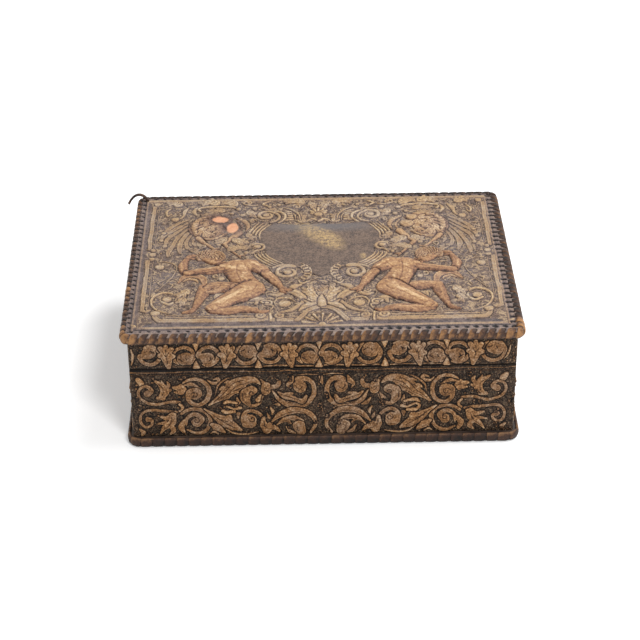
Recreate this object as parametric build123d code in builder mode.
from build123d import *
import math
import os

os.makedirs("parts", exist_ok=True)

# Millimetres, +Z up, front towards -Y.
# The origin is on the surface that the box stands on, under the middle of the body.

# Outline of the box
body_width = 240.6
body_depth = 185.0
side_overhang = 4.7
front_overhang = 1.5
back_overhang = 1.5
base_ledge = 4.2
wall_height = 49.3
band_height = 19.55
seam_gap = 0.3
lid_corner_radius = 6.0
base_corner_radius = 9.0
panel_corner_radius = 1.2

# Thickness of each layer
tooled_leather = 1.4
wood_wall = 7.0
cedar_lining = 2.0
cedar_floor = 2.5
base_board_thickness = 4.1
margin_leather = 1.0
lid_board_thickness = 3.2
lid_leather = 1.2
under_leather = 0.8
lid_cedar = 1.5

# The underside leather stands this much below the thong, and the cedar stops this much short of a rim
foot_drop = 0.2
lining_setback = 1.5

# Thong that is whipped round the edges of both plates
base_thong = 0.9
base_thong_reach = 2.6
base_stitch_pitch = 7.5
base_stitch_gap = 0.9
lid_thong = 0.65
lid_thong_reach = 4.4
lid_stitch_pitch = 5.9
lid_stitch_gap = 1.5
thong_floor = 0.3
thong_edge_radius = 0.5
stitch_slant = 12.0

# Loose end of the thong at the back left corner of the lid
tail_width = 2.2
tail_thickness = 0.9
tail_gap = 0.4
tail_foot_in = 7.6
tail_foot_sink = 1.0
tail_crown_in = 0.6
tail_crown_height = 5.2
tail_tip_out = 6.8
tail_tip_drop = 2.4

# Hinges in the back seam, whose bevelled edges meet when the lid is open
open_angle = 95.0
stop_clearance_angle = 0.3
pivot_inset = 3.0
hinge_inset = 45.0
hinge_length = 30.0
barrel_radius = 1.7
knuckle_gap = 0.2
swing_clearance = 0.3
pin_radius = 0.7
pin_clearance = 0.05
leaf_thickness = 0.9
leaf_width = 5.0
leaf_pocket_clearance = 0.1
screw_inset = 3.4
screw_spacing = 20.0
screw_radius = 0.6
screw_head_radius = 1.1
screw_length = 7.0

# Levels
board_low = base_thong + foot_drop
margin_low = board_low + base_board_thickness
base_top = margin_low + margin_leather
rim = base_top + wall_height
pivot_level = rim + seam_gap / 2
lid_rim = rim + seam_gap
plate_low = lid_rim + band_height
lid_board_low = plate_low + under_leather
lid_leather_low = lid_board_low + lid_board_thickness
plate_top = lid_leather_low + lid_leather

# Plan sizes
front_face = -body_depth / 2
back_face = body_depth / 2
wall_out_x = body_width / 2 - tooled_leather
wall_out_y = body_depth / 2 - tooled_leather
wall_in_x = wall_out_x - wood_wall
wall_in_y = wall_out_y - wood_wall
room_x = wall_in_x - cedar_lining
room_y = wall_in_y - cedar_lining
lid_width = body_width + 2 * side_overhang
lid_depth = body_depth + front_overhang + back_overhang
lid_shift = (back_overhang - front_overhang) / 2
base_width = body_width + 2 * base_ledge
base_depth = body_depth + 2 * base_ledge

# Hinge line
pivot_y = back_face - pivot_inset
bevel_slope = math.tan(math.radians((open_angle + stop_clearance_angle) / 2))
bevel_start_y = pivot_y + seam_gap / 2 / bevel_slope
wall_bevel_drop = (wall_out_y - pivot_y) * bevel_slope
panel_bevel_drop = pivot_inset * bevel_slope + swing_clearance
hinge_x = body_width / 2 - hinge_inset
knuckle_length = hinge_length / 3


def save(piece, label):
    """Labels a finished piece and writes its STEP file."""
    piece.part.label = label
    export_step(piece.part, f"parts/{label}.step")


def slab(x_low, x_high, y_low, y_high, z_low, z_high):
    """A plain board between three pairs of limits."""
    with BuildPart() as board:
        with BuildSketch(Plane.XY.offset(z_low)):
            with Locations(((x_low + x_high) / 2, (y_low + y_high) / 2)):
                Rectangle(x_high - x_low, y_high - y_low)
        extrude(amount=z_high - z_low)
    return board


def plate(width, depth, radius, z_low, thickness, y_shift=0.0):
    """A flat sheet with rounded corners."""
    with BuildPart() as sheet:
        with BuildSketch(Plane.XY.offset(z_low)):
            with Locations((0, y_shift)):
                RectangleRounded(width, depth, radius)
        extrude(amount=thickness)
    return sheet


def skin(y_low, y_high, z_low, z_high):
    """A front or back leather panel, with its two outer upright edges rounded."""
    with BuildPart() as panel:
        with BuildSketch(Plane.XY.offset(z_low)):
            with Locations((0, (y_low + y_high) / 2)):
                Rectangle(body_width, y_high - y_low)
        extrude(amount=z_high - z_low)
        upright = panel.edges().filter_by(Axis.Z).group_by(Axis.Y)
        fillet(upright[0] if y_low < 0 else upright[-1], panel_corner_radius)
    return panel


def bevelled(x_low, x_high, y_low, upward):
    """A board of the body (upward -1) or the lid (1) that is bevelled where it meets the back seam."""
    far_level = plate_low if upward > 0 else base_top
    near_level = lid_rim if upward > 0 else rim
    with BuildPart() as board:
        with BuildSketch(Plane.YZ.offset(x_low)):
            with BuildLine():
                Polyline(
                    (y_low, far_level),
                    (wall_out_y, far_level),
                    (wall_out_y, pivot_level + upward * wall_bevel_drop),
                    (bevel_start_y, near_level),
                    (y_low, near_level),
                    close=True,
                )
            make_face()
        extrude(amount=x_high - x_low)
    return board


def edge_lacing(width, depth, corner, thong, reach, low, plate_from, plate_to, pitch, gap, y_shift=0.0):
    """One thong round the edge of a plate: a thin channel with a rib for each stitch."""
    high = plate_to + thong
    core_width = width - 2 * thong
    core_depth = depth - 2 * thong
    core_corner = max(corner - thong, thong_floor)
    hole_width = width - 2 * reach
    hole_depth = depth - 2 * reach
    hole_corner = max(corner - reach, thong_floor)
    shrink = thong - thong_floor
    along_x = max(2, round((width - 2 * corner) / pitch))
    along_y = max(2, round((depth - 2 * corner) / pitch))
    step_x = (width - 2 * corner) / along_x
    step_y = (depth - 2 * corner) / along_y
    middle = (low + high) / 2
    cutter_height = high - low + 2 * thong
    with BuildPart() as lacing:
        # full thickness, as high as a stitch
        with BuildSketch(Plane.XY.offset(low)):
            with Locations((0, y_shift)):
                RectangleRounded(width, depth, corner)
        extrude(amount=high - low)
        rims = lacing.faces().sort_by(Axis.Z)
        fillet(rims[0].edges() + rims[-1].edges(), thong_edge_radius)
        # the gaps between stitches
        rows = []
        for i in range(along_x + 1):
            x = -width / 2 + corner + i * step_x
            for side in (-1, 1):
                y = y_shift + side * (depth / 2 - reach / 2)
                rows.append(Location((x, y, middle), (0, 0, side * stitch_slant)))
        for i in range(1, along_y):
            y = y_shift - depth / 2 + corner + i * step_y
            for side in (-1, 1):
                x = side * (width / 2 - reach / 2)
                rows.append(Location((x, y, middle), (0, 0, 90 + side * stitch_slant)))
        with Locations(*rows):
            Box(gap, reach + 2 * thong, cutter_height, mode=Mode.SUBTRACT)
        # the thong's lower layer, seen in those gaps
        with BuildSketch(Plane.XY.offset(low + shrink)):
            with Locations((0, y_shift)):
                RectangleRounded(width - 2 * shrink, depth - 2 * shrink, corner - shrink)
        extrude(amount=high - low - 2 * shrink)
        # room for the plate, and the open middle
        with BuildSketch(Plane.XY.offset(plate_from)):
            with Locations((0, y_shift)):
                RectangleRounded(core_width, core_depth, core_corner)
        extrude(amount=plate_to - plate_from, mode=Mode.SUBTRACT)
        with BuildSketch(Plane.XY.offset(low - thong)):
            with Locations((0, y_shift)):
                RectangleRounded(hole_width, hole_depth, hole_corner)
        extrude(amount=cutter_height, mode=Mode.SUBTRACT)
    return lacing


# Base plate: a board with leather over and under it, laced together round the edge
for label, inset, low, thickness in (
    ("base_board", base_thong, board_low, base_board_thickness),
    ("base_margin_leather", base_thong, margin_low, margin_leather),
    ("base_underside_leather", base_thong_reach, 0.0, board_low),
):
    save(
        plate(base_width - 2 * inset, base_depth - 2 * inset, base_corner_radius - inset, low, thickness),
        label,
    )
save(
    edge_lacing(
        base_width,
        base_depth,
        base_corner_radius,
        base_thong,
        base_thong_reach,
        foot_drop,
        board_low,
        base_top,
        base_stitch_pitch,
        base_stitch_gap,
    ),
    "base_lacing",
)

# Wooden walls of the body, all but the back one
save(slab(-wall_out_x, wall_out_x, -wall_out_y, -wall_in_y, base_top, rim), "wall_front")
save(slab(-wall_out_x, -wall_in_x, -wall_in_y, wall_in_y, base_top, rim), "wall_left")
save(slab(wall_in_x, wall_out_x, -wall_in_y, wall_in_y, base_top, rim), "wall_right")

# Wooden rails of the lid, all but the back one
save(slab(-wall_out_x, wall_out_x, -wall_out_y, -wall_in_y, lid_rim, plate_low), "lid_rail_front")
save(slab(-wall_out_x, -wall_in_x, -wall_in_y, wall_in_y, lid_rim, plate_low), "lid_rail_left")
save(slab(wall_in_x, wall_out_x, -wall_in_y, wall_in_y, lid_rim, plate_low), "lid_rail_right")

# Tooled leather round the body
save(skin(front_face, -wall_out_y, base_top, rim), "panel_front")
save(skin(wall_out_y, back_face, base_top, pivot_level - panel_bevel_drop), "panel_back")
save(bevelled(-body_width / 2, -wall_out_x, -wall_out_y, -1), "panel_left")
save(bevelled(wall_out_x, body_width / 2, -wall_out_y, -1), "panel_right")

# Tooled leather round the lid
save(skin(front_face, -wall_out_y, lid_rim, plate_low), "lid_band_front")
save(skin(wall_out_y, back_face, pivot_level + panel_bevel_drop, plate_low), "lid_band_back")
save(bevelled(-body_width / 2, -wall_out_x, -wall_out_y, 1), "lid_band_left")
save(bevelled(wall_out_x, body_width / 2, -wall_out_y, 1), "lid_band_right")

# Cedar lining of the body
floor_top = base_top + cedar_floor
lining_top = rim - lining_setback
save(slab(-wall_in_x, wall_in_x, -wall_in_y, wall_in_y, base_top, floor_top), "lining_floor")
save(slab(-wall_in_x, wall_in_x, -wall_in_y, -room_y, floor_top, lining_top), "lining_front")
save(slab(-wall_in_x, wall_in_x, room_y, wall_in_y, floor_top, lining_top), "lining_back")
save(slab(-wall_in_x, -room_x, -room_y, room_y, floor_top, lining_top), "lining_left")
save(slab(room_x, wall_in_x, -room_y, room_y, floor_top, lining_top), "lining_right")

# Cedar lining of the lid
ceiling = plate_low - lid_cedar
lid_lining_low = lid_rim + lining_setback
save(slab(-wall_in_x, wall_in_x, -wall_in_y, wall_in_y, ceiling, plate_low), "lid_lining_top")
save(slab(-wall_in_x, wall_in_x, -wall_in_y, -room_y, lid_lining_low, ceiling), "lid_lining_front")
save(slab(-wall_in_x, wall_in_x, room_y, wall_in_y, lid_lining_low, ceiling), "lid_lining_back")
save(slab(-wall_in_x, -room_x, -room_y, room_y, lid_lining_low, ceiling), "lid_lining_left")
save(slab(room_x, wall_in_x, -room_y, room_y, lid_lining_low, ceiling), "lid_lining_right")

# Lid plate: leather under, board and tooled leather over, laced together round the edge
plate_width = lid_width - 2 * lid_thong
plate_depth = lid_depth - 2 * lid_thong
plate_radius = lid_corner_radius - lid_thong
for label, low, thickness in (
    ("lid_under_leather", plate_low, under_leather),
    ("lid_board", lid_board_low, lid_board_thickness),
    ("lid_top_leather", lid_leather_low, lid_leather),
):
    save(plate(plate_width, plate_depth, plate_radius, low, thickness, lid_shift), label)
lid_thong_round = edge_lacing(
    lid_width,
    lid_depth,
    lid_corner_radius,
    lid_thong,
    lid_thong_reach,
    plate_low - lid_thong,
    plate_low,
    plate_top,
    lid_stitch_pitch,
    lid_stitch_gap,
    lid_shift,
)
with BuildPart() as lid_lacing:
    add(lid_thong_round.part)
    # under the plate the thong stops at the leather of the bands
    with Locations((0, 0, plate_low)):
        Box(
            body_width,
            body_depth,
            2 * lid_thong,
            align=(Align.CENTER, Align.CENTER, Align.MAX),
            mode=Mode.SUBTRACT,
        )
save(lid_lacing, "lid_lacing")

# Loose thong end: it springs from the leather inside the lacing, arches over it and hangs past the side
corner_x = -lid_width / 2
tail_back = lid_shift + lid_depth / 2 - lid_thong_reach - tail_gap
with BuildPart() as lacing_tail:
    with BuildSketch(Plane.XZ.offset(-tail_back)):
        with BuildLine():
            ThreePointArc(
                (corner_x + tail_foot_in, plate_top - tail_foot_sink),
                (corner_x + tail_crown_in, plate_top + tail_crown_height),
                (corner_x - tail_tip_out, plate_top - tail_tip_drop),
            )
        trace(line_width=tail_thickness)
    extrude(amount=tail_width)
    with BuildSketch(Plane.XY.offset(plate_low)):
        with Locations((0, lid_shift)):
            RectangleRounded(plate_width, plate_depth, plate_radius)
    extrude(amount=plate_top - plate_low, mode=Mode.SUBTRACT)
save(lacing_tail, "lacing_tail")


def barrel(radius, x_low, x_high, mode=Mode.ADD):
    """A round bar along the hinge line."""
    with Locations(((x_low + x_high) / 2, pivot_y, pivot_level)):
        Cylinder(radius, x_high - x_low, rotation=(0, 90, 0), mode=mode)


def leaf_plate(x_middle, upward, clearance, mode=Mode.ADD):
    """The flat part of a leaf, in the rim below (upward -1) or above (upward 1) the seam."""
    length = hinge_length + 2 * clearance
    depth = leaf_width + clearance
    face = lid_rim if upward > 0 else rim
    away = Align.MIN if upward > 0 else Align.MAX
    with Locations((x_middle, pivot_y, face)):
        Box(length, depth, leaf_thickness, align=(Align.CENTER, Align.MAX, away), mode=mode)


def screw_set(middles, upward):
    """Countersunk screws through the leaves, all heads level with the rim."""
    face = lid_rim if upward > 0 else rim
    places = [
        (x_middle + side * screw_spacing / 2, pivot_y - screw_inset)
        for x_middle in middles
        for side in (-1, 1)
    ]
    head_height = screw_head_radius - screw_radius
    with BuildPart() as screws:
        with BuildSketch(Plane.XY.offset(face)):
            with Locations(*places):
                Circle(screw_radius)
        extrude(amount=upward * screw_length)
        with BuildSketch(Plane.XY.offset(face)):
            with Locations(*places):
                Circle(screw_head_radius)
        extrude(amount=upward * head_height, taper=45)
    return screws


body_screws = screw_set((-hinge_x, hinge_x), -1)
lid_screws = screw_set((-hinge_x, hinge_x), 1)
save(body_screws, "hinge_screws_body")
save(lid_screws, "hinge_screws_lid")

# Hinges: the lid leaf has the middle knuckle, the body leaf has the two outer ones
for side, x_middle in (("left", -hinge_x), ("right", hinge_x)):
    x_low = x_middle - hinge_length / 2
    x_high = x_middle + hinge_length / 2
    knuckle_low = x_middle - knuckle_length / 2
    knuckle_high = x_middle + knuckle_length / 2
    clear_radius = barrel_radius + swing_clearance

    with BuildPart() as body_leaf:
        leaf_plate(x_middle, -1, 0.0)
        barrel(barrel_radius, x_low, x_high)
        barrel(clear_radius, knuckle_low - knuckle_gap, knuckle_high + knuckle_gap, Mode.SUBTRACT)
        barrel(pin_radius, x_low, x_high, Mode.SUBTRACT)
        add(body_screws.part, mode=Mode.SUBTRACT)
    save(body_leaf, f"hinge_leaf_body_{side}")

    with BuildPart() as lid_leaf:
        leaf_plate(x_middle, 1, 0.0)
        barrel(clear_radius, x_low, knuckle_low, Mode.SUBTRACT)
        barrel(clear_radius, knuckle_high, x_high, Mode.SUBTRACT)
        barrel(barrel_radius, knuckle_low, knuckle_high)
        barrel(pin_radius + pin_clearance, knuckle_low, knuckle_high, Mode.SUBTRACT)
        add(lid_screws.part, mode=Mode.SUBTRACT)
    save(lid_leaf, f"hinge_leaf_lid_{side}")

    with BuildPart() as hinge_pin:
        barrel(pin_radius, x_low, x_high)
    save(hinge_pin, f"hinge_pin_{side}")


def back_board(upward, screws):
    """The back wall (upward -1) or back rail (upward 1), bevelled, with pockets for both hinges."""
    with BuildPart() as board:
        add(bevelled(-wall_out_x, wall_out_x, wall_in_y, upward).part)
        for x_middle in (-hinge_x, hinge_x):
            leaf_plate(x_middle, upward, leaf_pocket_clearance, Mode.SUBTRACT)
            barrel(
                barrel_radius + swing_clearance,
                x_middle - hinge_length / 2 - swing_clearance,
                x_middle + hinge_length / 2 + swing_clearance,
                Mode.SUBTRACT,
            )
        add(screws.part, mode=Mode.SUBTRACT)
    return board


save(back_board(-1, body_screws), "wall_back")
save(back_board(1, lid_screws), "lid_rail_back")

print("lid plate", lid_width, "by", lid_depth, "height", plate_top + lid_thong)
print("room inside", 2 * room_x, "by", 2 * room_y, "by", ceiling - floor_top)
print("hinge line y", pivot_y, "z", pivot_level)
